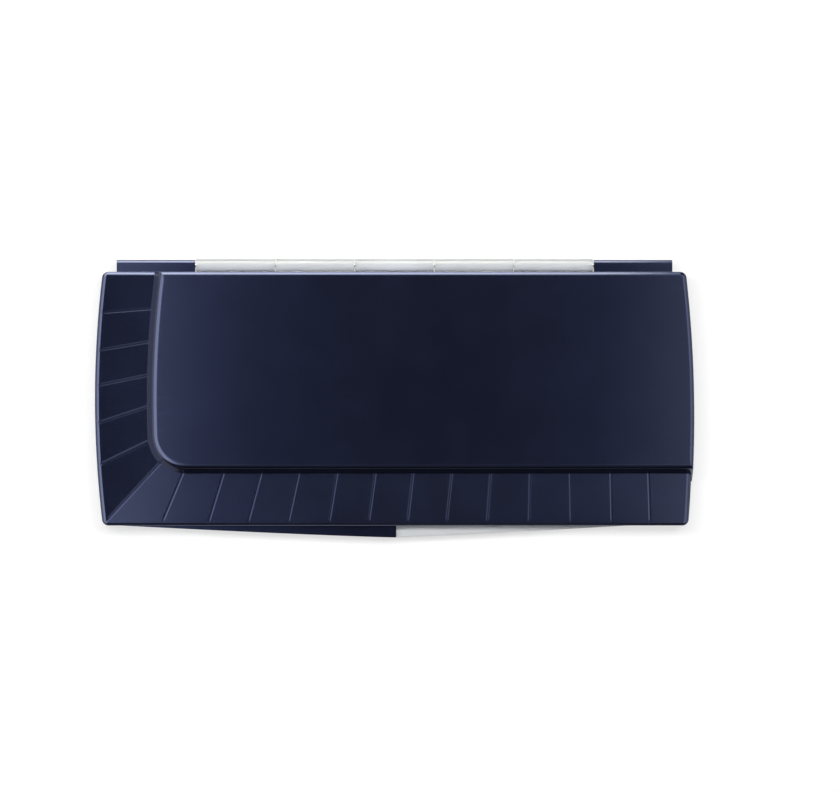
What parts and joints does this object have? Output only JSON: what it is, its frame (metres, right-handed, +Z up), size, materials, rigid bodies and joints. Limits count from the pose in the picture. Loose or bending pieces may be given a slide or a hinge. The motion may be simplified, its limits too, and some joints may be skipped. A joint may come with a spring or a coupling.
{
  "type": "watercolour palette",
  "caption": "Folding plastic palette, shut: hinged lid and base with paint wells round a mixing area, and a mixing leaf between them.",
  "frame": {"origin": "under the middle of the shut palette, on the flat it rests on", "axes": "+X along its length, towards the end without wells; +Y towards the hinge; +Z up, through the base and the lid"},
  "size_m": [0.3028, 0.1408, 0.025],
  "materials": {
    "navy_shell": "satin moulded navy plastic",
    "white_tray": "glossy moulded white plastic",
    "pin_steel": "drawn steel wire"
  },
  "bodies": {
    "base": {"base_shell": "navy_shell", "base_tray": "white_tray", "hinge_pin_left": "pin_steel", "hinge_pin_right": "pin_steel"},
    "lid": {"lid_shell": "navy_shell", "lid_tray": "white_tray"},
    "leaf": {"mixing_leaf": "white_tray"}
  },
  "joints": [
    {"name": "lid_hinge", "type": "hinge", "parent": "base", "child": "lid", "pos_m": [0, 0.06742, 0.0125], "axis": [-1, 0, 0], "range_deg": [0, 180]},
    {"name": "leaf_hinge", "type": "hinge", "parent": "base", "child": "leaf", "pos_m": [0, 0.06742, 0.0125], "axis": [-1, 0, 0], "range_deg": [0, 90]}
  ],
  "couplings": [
    {"joint": "leaf_hinge", "follows": "lid_hinge", "ratio": 0.5}
  ]
}
